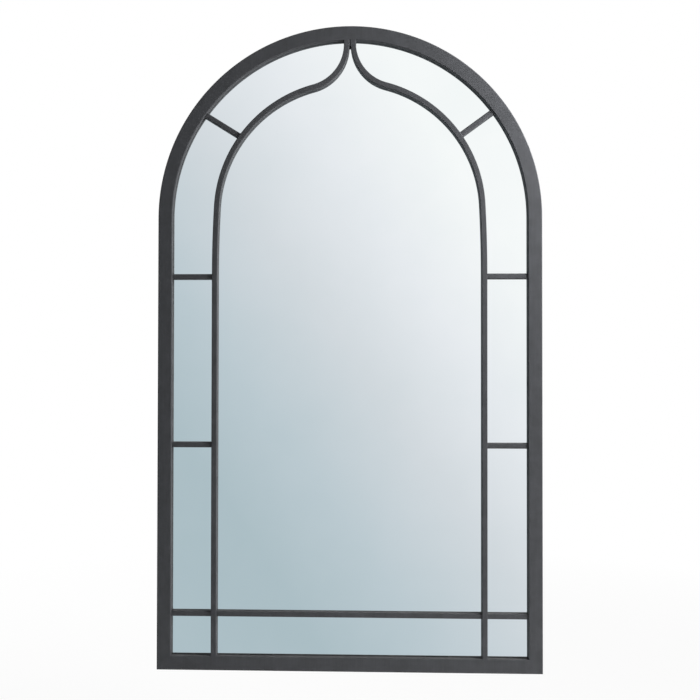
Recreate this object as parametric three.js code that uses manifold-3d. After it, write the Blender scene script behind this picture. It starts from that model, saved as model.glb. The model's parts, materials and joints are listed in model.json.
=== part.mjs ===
// Arched window mirror: a powder-coated tube frame with a semicircular head, glazing bars that
// divide one sheet of mirror into panes, and the hardware behind it.
//
// Millimetres. +X is to the right seen from the front, +Z is up, and the mirror faces -Y.
// The origin is the middle of the bottom rail's underside.

import * as THREE from 'three';
import { mergeVertices } from 'three/addons/utils/BufferGeometryUtils.js';
import Module from 'manifold-3d';

const wasm = await Module();
wasm.setup();

// ---------------------------------------------------------------- driving dimensions

const WIDTH = 700; // outer width of the frame, and so twice the radius of its head
const HEIGHT = 1175; // outer height at the crown

const TUBE_FACE = 26; // width of the frame's face
const TUBE_WALL = 1.5;
const TUBE_CORNER = 1.6; // outer corner radius of the tube

const BAR_WIDTH = 10; // face of every glazing bar
const BAR_DEPTH = 10; // from the frame's face back to the glass
const BAR_CORNER = 0.8;
const CROSS_SETBACK = 2.5; // how far the cross bars lie behind the frame's face

const SIDE_PANE_WIDTH = 73; // between a long bar and the frame
const LEAD_RADIUS = 2400; // centreline radius of the gentle bend that the head of a long bar starts with
const LEAD_TURN = 3; // degrees, through that bend
const BEND_TIGHTENING = 7; // by which the main bend's radius is under the bar's distance from the middle
const TIP_RADIUS = 81; // centreline radius of the bend that turns a long bar up to the crown
const LEFT_UPRIGHT = 6.7; // straight end of the left long bar, below the crown
const RIGHT_UPRIGHT = 4; // and of the right one
const TIP_GAP = 2; // between the two long bars where they meet
const TIP_SHIFT = 1.2; // how far to the right of the middle they meet
const TIP_CLEARANCE = 0.1; // from a long bar's end to the arch

const UPPER_CROSS_DROP = 108; // from the arch's ends down to the upper cross bars' centrelines
const BASE_CROSS_HEIGHT = 102; // of the base cross bars' centrelines above the frame's foot
const LEFT_SPOKE_PLACE = 35.7; // degrees round the arch from its end, where the left spoke meets it
const RIGHT_SPOKE_PLACE = 36.3;
const LEFT_SPOKE_RISE = 32; // degrees, the left spoke's slope up to the arch
const RIGHT_SPOKE_RISE = 36;
const SPOKE_CLEARANCE = 0.3; // from the ends of a spoke to the curved faces it stands between

const GLASS_THICKNESS = 4;
const GLASS_CHAMFER = 0.5;
const FOAM_THICKNESS = 1;
const BOARD_THICKNESS = 5;
const SHEET_CLEARANCE = 1.5; // all round, between the sheets and the frame
const BLOCK_LENGTH = 40; // the setting blocks under the glass
const BLOCK_SPACING = 320;

const SCREW_RADIUS = 2;
const SCREW_LENGTH = 12; // below the head
const SCREW_POINT = 3; // length of the tapered point
const SCREW_HEAD_RADIUS = 3.8;
const SCREW_HEAD_HEIGHT = 2.4;
const SCREW_HEAD_RIM = 0.8; // height of the head's upright rim, below its dome
const RECESS_WIDTH = 1;
const RECESS_LENGTH = 4.2;
const RECESS_DEPTH = 1.3;
const HOLE_CLEARANCE = 0.3; // between a screw and the holes it passes through

const BUTTON_THICKNESS = 1.5;
const BUTTON_PIVOT_RADIUS = 7; // round end, on the screw
const BUTTON_TIP_RADIUS = 5; // round end, on the board
const BUTTON_REACH = 22; // between the centres of the two ends
const BUTTON_PLAY = 0.15; // below and above a button
const STILE_BUTTON_HEIGHTS = [190, 520];
const RAIL_BUTTON_SPACING = 340;
const ARCH_BUTTON_ANGLES = [35, 90, 145]; // degrees, from the right-hand end of the arch

const RING_WIRE_RADIUS = 1.5;
const RING_WIDTH = 22; // between the centrelines of the ring's sides
const RING_HEIGHT = 17; // from the straight leg's centre to the bow's
const RING_CORNER = 3; // bend radius beside the leg
const RING_SPLIT = 0.3; // the cut in the leg, hidden in the strap
const RING_PLAY = 0.2; // around the leg in the strap
const RING_REST_GAP = 0.3; // from the bow to the frame it leans on
const HANGER_DROP = 30; // from the arch's ends down to the rings' legs

const STRAP_THICKNESS = 1.2; // one of its two layers
const STRAP_WIDTH = 14;
const STRAP_LENGTH = 30; // below the ring's leg
const STRAP_CORNER = 4;
const STRAP_SCREW_DROPS = [9, 24]; // below the ring's leg

const BUMPER_RADIUS = 6;
const BUMPER_HEIGHT = 6;
const BUMPER_ROUND = 1.2;
const BUMPER_RISE = 45; // above the frame's foot

// ---------------------------------------------------------------- sizes that follow

const TUBE_DEPTH = BAR_DEPTH + GLASS_THICKNESS + FOAM_THICKNESS + BOARD_THICKNESS;
const FRONT = -TUBE_DEPTH / 2;
const BACK = TUBE_DEPTH / 2;
const GLASS_FRONT = FRONT + BAR_DEPTH;
const FOAM_FRONT = GLASS_FRONT + GLASS_THICKNESS;
const BOARD_FRONT = FOAM_FRONT + FOAM_THICKNESS;

const ARCH_OUTER = WIDTH / 2;
const ARCH_INNER = ARCH_OUTER - TUBE_FACE;
const ARCH_MIDDLE = ARCH_OUTER - TUBE_FACE / 2;
const SPRING = HEIGHT - ARCH_OUTER; // height of the arch's ends and of its centre

const LONG_BAR_OUTER = ARCH_INNER - SIDE_PANE_WIDTH;
const LONG_BAR_X = LONG_BAR_OUTER - BAR_WIDTH / 2;
const LONG_BAR_INNER = LONG_BAR_OUTER - BAR_WIDTH;
const UPPER_CROSS_HEIGHT = SPRING - UPPER_CROSS_DROP;
const LOWER_CROSS_HEIGHT = (UPPER_CROSS_HEIGHT + BASE_CROSS_HEIGHT) / 2;
const CROSS_DEPTH = BAR_DEPTH - CROSS_SETBACK;
const HOLE_RADIUS = SCREW_RADIUS + HOLE_CLEARANCE;

const CURL_INNER = RING_WIRE_RADIUS + RING_PLAY;
const CURL_OUTER = CURL_INNER + STRAP_THICKNESS;
const RING_LEG_HEIGHT = SPRING - HANGER_DROP;
const RING_LEG_DEPTH = BACK + CURL_OUTER;

const FACET_SAG = 0.08; // how far a flat facet may lie inside a true arc
const ROUND_SIDES = 12; // sides of the small round pieces
const radians = THREE.MathUtils.degToRad;
const degrees = THREE.MathUtils.radToDeg;

// ---------------------------------------------------------------- finishes

const finish = (color, roughness, metalness) =>
  new THREE.MeshStandardMaterial({ color, roughness, metalness });

const CHARCOAL_COAT = finish('#3d3d40', 0.62, 0.3);
const SILVERED_GLASS = finish('#d5dfe6', 0.03, 1);
const ZINC_STEEL = finish('#b4b6b8', 0.38, 0.9);
const BLACK_RUBBER = finish('#1c1c1d', 0.85, 0);
const WHITE_FOAM = finish('#e6e6e2', 0.9, 0);
const FIBREBOARD = finish('#8a6b4c', 0.85, 0);

// ---------------------------------------------------------------- shapes and sweeps

// A line bent in the plane of the mirror. It starts at a point with a heading in degrees
// (0 is +X, 90 is +Z) and goes through its runs, straight ({ ahead }) or bent ({ radius, turn }),
// where a positive turn is to the left. A slant shears an end's section along the line, for a
// mitre. Sections on it have x towards the front and y to the right of the way it goes.
class BentLine extends THREE.Curve {
  constructor(x, z, heading, runs, { depth = 0, startSlant = 0, endSlant = 0 } = {}) {
    super();
    this.depth = depth;
    this.stations = [{ x, z, heading: radians(heading), slant: startSlant }];
    for (const run of runs) {
      if (run.radius === undefined) this.goAhead(run.ahead);
      else this.goRound(run.radius, radians(run.turn));
    }
    this.stations.at(-1).slant = endSlant;
  }

  goAhead(distance) {
    const { x, z, heading } = this.stations.at(-1);
    this.stations.push({
      x: x + distance * Math.cos(heading),
      z: z + distance * Math.sin(heading),
      heading,
      slant: 0,
    });
  }

  goRound(radius, turn) {
    const { x, z, heading } = this.stations.at(-1);
    const side = Math.sign(turn);
    const centreX = x - side * radius * Math.sin(heading);
    const centreZ = z + side * radius * Math.cos(heading);
    const facets = arcFacets(radius, Math.abs(turn));
    for (let i = 1; i <= facets; i++) {
      const now = heading + (turn * i) / facets;
      this.stations.push({
        x: centreX + side * radius * Math.sin(now),
        z: centreZ - side * radius * Math.cos(now),
        heading: now,
        slant: 0,
      });
    }
  }

  getSpacedPoints() {
    return this.stations.map(({ x, z }) => new THREE.Vector3(x, this.depth, z));
  }

  computeFrenetFrames() {
    const tangents = [];
    const normals = [];
    const binormals = [];
    for (const { heading, slant } of this.stations) {
      const tangent = new THREE.Vector3(Math.cos(heading), 0, Math.sin(heading));
      const normal = new THREE.Vector3(0, -1, 0);
      const right = new THREE.Vector3().crossVectors(tangent, normal);
      tangents.push(tangent);
      normals.push(normal);
      binormals.push(right.addScaledVector(tangent, slant));
    }
    return { tangents, normals, binormals };
  }
}

function arcFacets(radius, angle) {
  const widest = 2 * Math.acos(1 - FACET_SAG / radius);
  return 2 * Math.ceil(angle / widest / 2);
}

function sweep(section, line) {
  return new THREE.ExtrudeGeometry(section, {
    steps: line.stations.length - 1,
    curveSegments: 1,
    extrudePath: line,
  });
}

function roundedRectangle(width, height, radius) {
  const x = width / 2 - radius;
  const y = height / 2 - radius;
  const shape = new THREE.Shape();
  shape.absarc(x, y, radius, 0, Math.PI / 2);
  shape.absarc(-x, y, radius, Math.PI / 2, Math.PI);
  shape.absarc(-x, -y, radius, Math.PI, 1.5 * Math.PI);
  shape.absarc(x, -y, radius, 1.5 * Math.PI, 2 * Math.PI);
  shape.closePath();
  return shape;
}

function rectanglePath(width, height) {
  const x = width / 2;
  const y = height / 2;
  return new THREE.Path([
    new THREE.Vector2(-x, -y),
    new THREE.Vector2(-x, y),
    new THREE.Vector2(x, y),
    new THREE.Vector2(x, -y),
  ]);
}

function tubeSection() {
  const section = roundedRectangle(TUBE_DEPTH, TUBE_FACE, TUBE_CORNER);
  section.holes.push(rectanglePath(TUBE_DEPTH - 2 * TUBE_WALL, TUBE_FACE - 2 * TUBE_WALL));
  return section;
}

// Extrudes a flat shape, drawn with x to the right and y up, from one depth towards the back.
function plate(shape, depth, thickness, options = {}) {
  const geometry = new THREE.ExtrudeGeometry(shape, {
    depth: thickness,
    bevelEnabled: false,
    ...options,
  });
  geometry.rotateX(Math.PI / 2);
  geometry.translate(0, depth + thickness, 0);
  return geometry;
}

// ---------------------------------------------------------------- cutting and joining

function solidOf(geometry) {
  const bare = geometry.clone();
  bare.deleteAttribute('normal');
  bare.deleteAttribute('uv');
  const merged = mergeVertices(bare, 1e-4);
  return new wasm.Manifold(new wasm.Mesh({
    numProp: 3,
    vertProperties: new Float32Array(merged.attributes.position.array),
    triVerts: new Uint32Array(merged.index.array),
  }));
}

function geometryOf(solid) {
  const mesh = solid.getMesh();
  const indexed = new THREE.BufferGeometry();
  indexed.setAttribute('position', new THREE.BufferAttribute(mesh.vertProperties, 3));
  indexed.setIndex(new THREE.BufferAttribute(mesh.triVerts, 1));
  const geometry = indexed.toNonIndexed();
  geometry.computeVertexNormals();
  return geometry;
}

function drilled(geometry, spots, depth, length) {
  let solid = solidOf(geometry);
  for (const { x, z } of spots) {
    const drill = new THREE.CylinderGeometry(HOLE_RADIUS, HOLE_RADIUS, length, ROUND_SIDES);
    drill.translate(x, depth, z);
    solid = solid.subtract(solidOf(drill));
  }
  return geometryOf(solid);
}

// ---------------------------------------------------------------- where the hardware goes

// Each button's screw, and the way out from the middle of the mirror there, in degrees.
const buttonSpots = [
  ...STILE_BUTTON_HEIGHTS.map((z, i) => ({ name: `left_${i + 1}`, x: -ARCH_MIDDLE, z, outward: 180 })),
  ...STILE_BUTTON_HEIGHTS.map((z, i) => ({ name: `right_${i + 1}`, x: ARCH_MIDDLE, z, outward: 0 })),
  ...ARCH_BUTTON_ANGLES.map((outward, i) => ({
    name: `arch_${i + 1}`,
    x: ARCH_MIDDLE * Math.cos(radians(outward)),
    z: SPRING + ARCH_MIDDLE * Math.sin(radians(outward)),
    outward,
  })),
  ...[-1, 1].map((side, i) => ({
    name: `bottom_${i + 1}`,
    x: (side * RAIL_BUTTON_SPACING) / 2,
    z: TUBE_FACE / 2,
    outward: 270,
  })),
];

const hangers = [
  { side: 'left', x: -ARCH_MIDDLE },
  { side: 'right', x: ARCH_MIDDLE },
];

const strapScrewSpots = ({ x }) => STRAP_SCREW_DROPS.map((drop) => ({ x, z: RING_LEG_HEIGHT - drop }));

// The tube's back wall is drilled from just outside it to just inside it.
const drilledTube = (geometry, spots) => drilled(geometry, spots, BACK - TUBE_WALL / 2, 2 * TUBE_WALL);

const buttonsOn = (place) => buttonSpots.filter(({ name }) => name.startsWith(place));

// ---------------------------------------------------------------- the frame

const part = new THREE.Group();

function add(name, geometry, material) {
  const mesh = new THREE.Mesh(geometry, material);
  mesh.name = name;
  part.add(mesh);
  return mesh;
}

function frameArch() {
  const line = new BentLine(ARCH_MIDDLE, SPRING, 90, [{ radius: ARCH_MIDDLE, turn: 180 }]);
  add('frame_arch', drilledTube(sweep(tubeSection(), line), buttonsOn('arch')), CHARCOAL_COAT);
}

function stile({ side, x }) {
  const line = new BentLine(x, TUBE_FACE / 2, 90, [{ ahead: SPRING - TUBE_FACE / 2 }], {
    startSlant: -Math.sign(x),
  });
  const spots = [...buttonsOn(side), ...strapScrewSpots({ x })];
  add(`${side}_stile`, drilledTube(sweep(tubeSection(), line), spots), CHARCOAL_COAT);
}

function bottomRail() {
  const line = new BentLine(-ARCH_MIDDLE, TUBE_FACE / 2, 0, [{ ahead: 2 * ARCH_MIDDLE }], {
    startSlant: -1,
    endSlant: 1,
  });
  add('bottom_rail', drilledTube(sweep(tubeSection(), line), buttonsOn('bottom')), CHARCOAL_COAT);
}

// ---------------------------------------------------------------- the glazing bars

// Both long bars were bent by hand, so their heads and the spokes beside them differ a little.
const longBars = [
  {
    side: 'left',
    sign: -1,
    tipX: (BAR_WIDTH + TIP_GAP) / 2 - TIP_SHIFT,
    upright: LEFT_UPRIGHT,
    spokePlace: LEFT_SPOKE_PLACE,
    spokeRise: LEFT_SPOKE_RISE,
  },
  {
    side: 'right',
    sign: 1,
    tipX: (BAR_WIDTH + TIP_GAP) / 2 + TIP_SHIFT,
    upright: RIGHT_UPRIGHT,
    spokePlace: RIGHT_SPOKE_PLACE,
    spokeRise: RIGHT_SPOKE_RISE,
  },
];

// The head of a long bar, worked out from the crown down: the centre, radius and turn of its main
// bend, with x outwards from the middle, and the height where its gentle lead starts.
function longBarHead({ tipX, upright }) {
  const radius = LONG_BAR_X - BEND_TIGHTENING;
  const lead = radians(LEAD_TURN);
  const x = LONG_BAR_X - LEAD_RADIUS + (LEAD_RADIUS - radius) * Math.cos(lead);
  const turn = Math.acos((tipX + TIP_RADIUS - x) / (radius + TIP_RADIUS));
  const crown = SPRING + Math.sqrt(ARCH_INNER ** 2 - (tipX + BAR_WIDTH / 2) ** 2);
  const top = crown - FACET_SAG - TIP_CLEARANCE;
  const z = top - upright - (radius + TIP_RADIUS) * Math.sin(turn);
  return { x, z, radius, turn: degrees(turn), leadStart: z - (LEAD_RADIUS - radius) * Math.sin(lead) };
}

// A long bar stands on the bottom rail, leans in, bends round towards the middle, and bends back so
// that it ends upright at the crown.
function longBar(bar) {
  const { side, sign, upright } = bar;
  const { radius, turn, leadStart } = longBarHead(bar);
  const line = new BentLine(sign * LONG_BAR_X, TUBE_FACE, 90, [
    { ahead: leadStart - TUBE_FACE },
    { radius: LEAD_RADIUS, turn: sign * LEAD_TURN },
    { radius, turn: sign * (turn - LEAD_TURN) },
    { radius: TIP_RADIUS, turn: -sign * turn },
    { ahead: upright },
  ], { depth: FRONT + BAR_DEPTH / 2 });
  add(`${side}_long_bar`, sweep(roundedRectangle(BAR_DEPTH, BAR_WIDTH, BAR_CORNER), line), CHARCOAL_COAT);
}

function crossBar(name, startX, startZ, heading, length, slants = {}) {
  const line = new BentLine(startX, startZ, heading, [{ ahead: length }], {
    depth: GLASS_FRONT - CROSS_DEPTH / 2,
    ...slants,
  });
  add(name, sweep(roundedRectangle(CROSS_DEPTH, BAR_WIDTH, BAR_CORNER), line), CHARCOAL_COAT);
}

function crossBars() {
  const rows = [
    { row: 'upper', z: UPPER_CROSS_HEIGHT },
    { row: 'lower', z: LOWER_CROSS_HEIGHT },
    { row: 'base', z: BASE_CROSS_HEIGHT },
  ];
  for (const { row, z } of rows) {
    crossBar(`${row}_left_bar`, -ARCH_INNER, z, 0, ARCH_INNER - LONG_BAR_OUTER);
    crossBar(`${row}_right_bar`, LONG_BAR_OUTER, z, 0, ARCH_INNER - LONG_BAR_OUTER);
  }
  crossBar('base_middle_bar', -LONG_BAR_INNER, BASE_CROSS_HEIGHT, 0, 2 * LONG_BAR_INNER);
}

// Where a bar whose middle line goes through a point leaves a circle: how far beyond the point, and
// the slant that lays both corners of its end on the circle.
function cutOnCircle(point, heading, circle) {
  const way = { x: Math.cos(heading), z: Math.sin(heading) };
  const [right, left] = [BAR_WIDTH / 2, -BAR_WIDTH / 2].map((offset) => {
    const fromX = point.x + offset * way.z - circle.x;
    const fromZ = point.z - offset * way.x - circle.z;
    const along = fromX * way.x + fromZ * way.z;
    return Math.sqrt(circle.radius ** 2 - fromX ** 2 - fromZ ** 2 + along ** 2) - along;
  });
  return { beyond: (right + left) / 2, slant: (right - left) / BAR_WIDTH };
}

// A spoke crosses from the main bend of a long bar to the arch, with its ends cut to both.
function spokeBar(bar) {
  const { side, sign, spokePlace, spokeRise } = bar;
  const head = longBarHead(bar);
  const place = radians(spokePlace);
  const heading = radians(sign > 0 ? spokeRise : 180 - spokeRise);
  const point = { x: sign * ARCH_INNER * Math.cos(place), z: SPRING + ARCH_INNER * Math.sin(place) };
  const inner = cutOnCircle(point, heading, {
    x: sign * head.x,
    z: head.z,
    radius: head.radius + BAR_WIDTH / 2 + SPOKE_CLEARANCE,
  });
  const outer = cutOnCircle(point, heading, {
    x: 0,
    z: SPRING,
    radius: ARCH_INNER - FACET_SAG - SPOKE_CLEARANCE,
  });
  crossBar(
    `${side}_spoke_bar`,
    point.x + inner.beyond * Math.cos(heading),
    point.z + inner.beyond * Math.sin(heading),
    degrees(heading),
    outer.beyond - inner.beyond,
    { startSlant: inner.slant, endSlant: outer.slant },
  );
}

// ---------------------------------------------------------------- the glass and its backing

// The opening inside the frame, smaller by a margin all round.
function openingShape(margin) {
  const radius = ARCH_INNER - margin;
  const foot = TUBE_FACE + margin;
  const shape = new THREE.Shape();
  shape.moveTo(-radius, foot);
  shape.lineTo(radius, foot);
  shape.absarc(0, SPRING, radius, 0, Math.PI);
  shape.closePath();
  return shape;
}

function sheet(name, depth, thickness, material, options = {}) {
  const geometry = plate(openingShape(SHEET_CLEARANCE), depth, thickness, {
    curveSegments: arcFacets(ARCH_INNER, Math.PI) / 2,
    ...options,
  });
  add(name, geometry, material);
}

function mirrorGlass() {
  const geometry = new THREE.ExtrudeGeometry(openingShape(SHEET_CLEARANCE), {
    depth: GLASS_THICKNESS - 2 * GLASS_CHAMFER,
    curveSegments: arcFacets(ARCH_INNER, Math.PI) / 2,
    bevelThickness: GLASS_CHAMFER,
    bevelSize: GLASS_CHAMFER,
    bevelOffset: -GLASS_CHAMFER,
    bevelSegments: 1,
  });
  geometry.rotateX(Math.PI / 2);
  geometry.translate(0, GLASS_FRONT + GLASS_THICKNESS - GLASS_CHAMFER, 0);
  add('mirror_glass', geometry, SILVERED_GLASS);
}

function settingBlock(side, sign) {
  const geometry = new THREE.BoxGeometry(BLOCK_LENGTH, GLASS_THICKNESS, SHEET_CLEARANCE);
  const block = add(`glass_block_${side}`, geometry, BLACK_RUBBER);
  block.position.set(
    (sign * BLOCK_SPACING) / 2,
    GLASS_FRONT + GLASS_THICKNESS / 2,
    TUBE_FACE + SHEET_CLEARANCE / 2,
  );
}

// ---------------------------------------------------------------- screws and turn buttons

// Drawn with the underside of its head at the origin and its point towards -Y.
function screwGeometry() {
  const dome = SCREW_HEAD_HEIGHT - SCREW_HEAD_RIM;
  const profile = [
    new THREE.Vector2(0, -SCREW_LENGTH),
    new THREE.Vector2(SCREW_RADIUS, SCREW_POINT - SCREW_LENGTH),
    new THREE.Vector2(SCREW_RADIUS, 0),
    new THREE.Vector2(SCREW_HEAD_RADIUS, 0),
    new THREE.Vector2(SCREW_HEAD_RADIUS, SCREW_HEAD_RIM),
    new THREE.Vector2(0.8 * SCREW_HEAD_RADIUS, SCREW_HEAD_RIM + 0.7 * dome),
    new THREE.Vector2(0, SCREW_HEAD_HEIGHT),
  ];
  let solid = solidOf(new THREE.LatheGeometry(profile, ROUND_SIDES));
  const across = new THREE.BoxGeometry(RECESS_LENGTH, 2 * RECESS_DEPTH, RECESS_WIDTH);
  across.translate(0, SCREW_HEAD_HEIGHT, 0);
  const along = across.clone().rotateY(Math.PI / 2);
  solid = solid.subtract(solidOf(across).add(solidOf(along)));
  return geometryOf(solid);
}

const screw = screwGeometry();

function addScrew(name, { x, z }, seat) {
  add(name, screw, ZINC_STEEL).position.set(x, seat, z);
}

// A flat pear shape with its screw hole at the origin and its tip towards -Z.
function buttonGeometry() {
  const lean = Math.asin((BUTTON_PIVOT_RADIUS - BUTTON_TIP_RADIUS) / BUTTON_REACH);
  const shape = new THREE.Shape();
  shape.absarc(0, 0, BUTTON_PIVOT_RADIUS, -lean, Math.PI + lean);
  shape.absarc(0, -BUTTON_REACH, BUTTON_TIP_RADIUS, Math.PI + lean, 2 * Math.PI - lean);
  shape.closePath();
  const hole = new THREE.Path();
  hole.absarc(0, 0, HOLE_RADIUS, 0, 2 * Math.PI, true);
  shape.holes.push(hole);
  return plate(shape, 0, BUTTON_THICKNESS, { curveSegments: ROUND_SIDES / 2 });
}

function turnButtons() {
  const button = buttonGeometry();
  for (const spot of buttonSpots) {
    const mesh = add(`turn_button_${spot.name}`, button, ZINC_STEEL);
    mesh.position.set(spot.x, BACK + BUTTON_PLAY, spot.z);
    mesh.rotation.y = radians(90 - spot.outward);
    addScrew(`button_screw_${spot.name}`, spot, BACK + BUTTON_THICKNESS + 2 * BUTTON_PLAY);
  }
}

// ---------------------------------------------------------------- the hangers

// A strip folded round the ring's leg and back on itself, drawn from the side with x away from
// the frame's back and y up from the leg, then cut to its outline and drilled.
function strapGeometry() {
  const plateThickness = 2 * STRAP_THICKNESS;
  const meet = Math.asin((plateThickness - CURL_OUTER) / CURL_OUTER);
  const side = new THREE.Shape();
  side.moveTo(0, -STRAP_LENGTH);
  side.lineTo(plateThickness, -STRAP_LENGTH);
  side.absarc(CURL_OUTER, 0, CURL_OUTER, meet - Math.PI / 2, Math.PI);
  side.closePath();
  const bore = new THREE.Path();
  bore.absarc(CURL_OUTER, 0, CURL_INNER, 0, 2 * Math.PI, true);
  side.holes.push(bore);
  const folded = new THREE.ExtrudeGeometry(side, {
    depth: STRAP_WIDTH,
    bevelEnabled: false,
    curveSegments: ROUND_SIDES / 2,
  });
  folded.translate(0, 0, -STRAP_WIDTH / 2);
  folded.applyMatrix4(new THREE.Matrix4().makeBasis(
    new THREE.Vector3(0, 1, 0),
    new THREE.Vector3(0, 0, 1),
    new THREE.Vector3(1, 0, 0),
  ));
  const height = STRAP_LENGTH + 2 * CURL_OUTER;
  const outline = roundedRectangle(STRAP_WIDTH, height, STRAP_CORNER);
  const cutter = plate(outline, -1, 2 * CURL_OUTER + 2, { curveSegments: 2 });
  cutter.translate(0, 0, height / 2 - STRAP_LENGTH);
  const body = solidOf(folded).intersect(solidOf(cutter));
  const spots = STRAP_SCREW_DROPS.map((drop) => ({ x: 0, z: -drop }));
  return drilled(geometryOf(body), spots, plateThickness / 2, 2 * plateThickness);
}

// A wire bent into a D, standing on its leg, which is cut in the middle.
function ringGeometry() {
  const half = RING_WIDTH / 2;
  const leg = half - RING_CORNER - RING_SPLIT / 2;
  const upright = RING_HEIGHT - half - RING_CORNER;
  const wire = new THREE.Shape();
  wire.absarc(0, 0, RING_WIRE_RADIUS, 0, 2 * Math.PI);
  const line = new BentLine(RING_SPLIT / 2, 0, 0, [
    { ahead: leg },
    { radius: RING_CORNER, turn: 90 },
    { ahead: upright },
    { radius: half, turn: 180 },
    { ahead: upright },
    { radius: RING_CORNER, turn: 90 },
    { ahead: leg },
  ]);
  return new THREE.ExtrudeGeometry(wire, {
    steps: line.stations.length - 1,
    curveSegments: 5,
    extrudePath: line,
  });
}

function wallHangers() {
  const strap = strapGeometry();
  const ring = ringGeometry();
  const lean = Math.asin((CURL_OUTER - RING_WIRE_RADIUS - RING_REST_GAP) / RING_HEIGHT);
  for (const hanger of hangers) {
    const strapMesh = add(`hanger_strap_${hanger.side}`, strap, ZINC_STEEL);
    strapMesh.position.set(hanger.x, BACK, RING_LEG_HEIGHT);
    const ringMesh = add(`hanger_ring_${hanger.side}`, ring, ZINC_STEEL);
    ringMesh.position.set(hanger.x, RING_LEG_DEPTH, RING_LEG_HEIGHT);
    ringMesh.rotation.x = lean;
    strapScrewSpots(hanger).forEach((spot, i) => {
      addScrew(`hanger_screw_${hanger.side}_${i + 1}`, spot, BACK + 2 * STRAP_THICKNESS);
    });
  }
}

function wallBumper(side, sign) {
  const profile = [
    new THREE.Vector2(0, 0),
    new THREE.Vector2(BUMPER_RADIUS, 0),
    new THREE.Vector2(BUMPER_RADIUS, BUMPER_HEIGHT - BUMPER_ROUND),
    new THREE.Vector2(BUMPER_RADIUS - BUMPER_ROUND, BUMPER_HEIGHT),
    new THREE.Vector2(0, BUMPER_HEIGHT),
  ];
  const bumper = add(`wall_bumper_${side}`, new THREE.LatheGeometry(profile, 2 * ROUND_SIDES), BLACK_RUBBER);
  bumper.position.set(sign * ARCH_MIDDLE, BACK, BUMPER_RISE);
}

// ---------------------------------------------------------------- assembly

frameArch();
hangers.forEach(stile);
bottomRail();
crossBars();
longBars.forEach(longBar);
longBars.forEach(spokeBar);
mirrorGlass();
sheet('foam_sheet', FOAM_FRONT, FOAM_THICKNESS, WHITE_FOAM);
sheet('backing_board', BOARD_FRONT, BOARD_THICKNESS, FIBREBOARD);
turnButtons();
wallHangers();
for (const { side, x } of hangers) {
  const sign = Math.sign(x);
  settingBlock(side, sign);
  wallBumper(side, sign);
}

export default part;
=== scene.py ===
"""Dresses the arched window mirror: smooth tubes and bars, pressed hardware, and the finishes.

Sizes named in millimetres are multiplied by MM; everything else is in metres. +X is to the right
seen from the front, +Z is up, and the mirror faces -Y.
"""

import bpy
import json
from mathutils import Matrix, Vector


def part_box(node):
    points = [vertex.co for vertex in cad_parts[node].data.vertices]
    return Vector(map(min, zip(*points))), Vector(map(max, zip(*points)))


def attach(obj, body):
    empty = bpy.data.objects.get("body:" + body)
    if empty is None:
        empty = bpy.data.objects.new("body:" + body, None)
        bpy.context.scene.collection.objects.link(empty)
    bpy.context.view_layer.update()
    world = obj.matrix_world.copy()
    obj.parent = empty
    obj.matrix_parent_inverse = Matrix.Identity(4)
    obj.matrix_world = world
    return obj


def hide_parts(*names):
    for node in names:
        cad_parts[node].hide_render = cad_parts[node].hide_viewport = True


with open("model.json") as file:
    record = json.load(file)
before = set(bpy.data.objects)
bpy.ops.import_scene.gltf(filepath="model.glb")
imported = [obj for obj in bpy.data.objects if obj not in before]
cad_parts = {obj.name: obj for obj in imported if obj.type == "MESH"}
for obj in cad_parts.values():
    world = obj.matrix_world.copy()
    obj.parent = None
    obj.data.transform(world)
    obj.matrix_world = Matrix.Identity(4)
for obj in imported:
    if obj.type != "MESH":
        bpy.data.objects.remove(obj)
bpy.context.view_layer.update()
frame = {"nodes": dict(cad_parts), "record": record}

import json
import math

import bmesh
import bpy
from mathutils import Matrix, Vector, noise

MM = 0.001
FORWARD = Vector((0, -1, 0))
UP = Vector((0, 0, 1))
SIDES = (("left", -1), ("right", 1))

# ---------------------------------------------------------------- sizes


def box(node):
    low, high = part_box(node)
    return Vector(low), Vector(high)


def middle(node):
    low, high = box(node)
    return (low + high) / 2


ARCH_LOW, ARCH_HIGH = box("frame_arch")
RAIL_LOW, RAIL_HIGH = box("bottom_rail")
LONG_BAR_LOW, LONG_BAR_HIGH = box("right_long_bar")
CROSS_LOW, CROSS_HIGH = box("base_middle_bar")
STRAP_LOW, STRAP_HIGH = box("hanger_strap_right")
BUMPER_LOW, BUMPER_HIGH = box("wall_bumper_right")

FRONT = ARCH_LOW.y
BACK = ARCH_HIGH.y
SPRING = ARCH_LOW.z  # height of the arch's ends and of its centre
ARCH_OUTER = ARCH_HIGH.x
TUBE_FACE = RAIL_HIGH.z - RAIL_LOW.z
TUBE_DEPTH = BACK - FRONT
ARCH_INNER = ARCH_OUTER - TUBE_FACE
ARCH_MIDDLE = ARCH_OUTER - TUBE_FACE / 2
TUBE_CORNER = 2 * MM

BAR_WIDTH = CROSS_HIGH.z - CROSS_LOW.z
BAR_DEPTH = LONG_BAR_HIGH.y - LONG_BAR_LOW.y
CROSS_DEPTH = CROSS_HIGH.y - CROSS_LOW.y
BAR_CORNER = 1.2 * MM
CROSS_CORNER = 2 * MM
GLASS_FRONT = CROSS_HIGH.y
LONG_BAR_X = LONG_BAR_HIGH.x - BAR_WIDTH / 2
LEAD_RADIUS = 2400 * MM  # of the gentle bend that the head of a long bar starts with
LEAD_TURN = math.radians(3)  # through that bend
BEND_RADIUS = LONG_BAR_X - 7 * MM  # of its main bend, under the bar's distance from the middle
TIP_RADIUS = 81 * MM  # of the bend that turns it up to the crown
UPRIGHTS = {"left": 6.7 * MM, "right": 4 * MM}  # straight ends of the long bars, below the crown
SPOKE_PLACES = {"left": math.radians(35.7), "right": math.radians(36.3)}  # round the arch
SPOKE_RISES = {"left": math.radians(32), "right": math.radians(36)}  # up towards the arch
WELD_SINK = 0.5 * MM  # how far a welded cross bar's end goes into its neighbour
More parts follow.
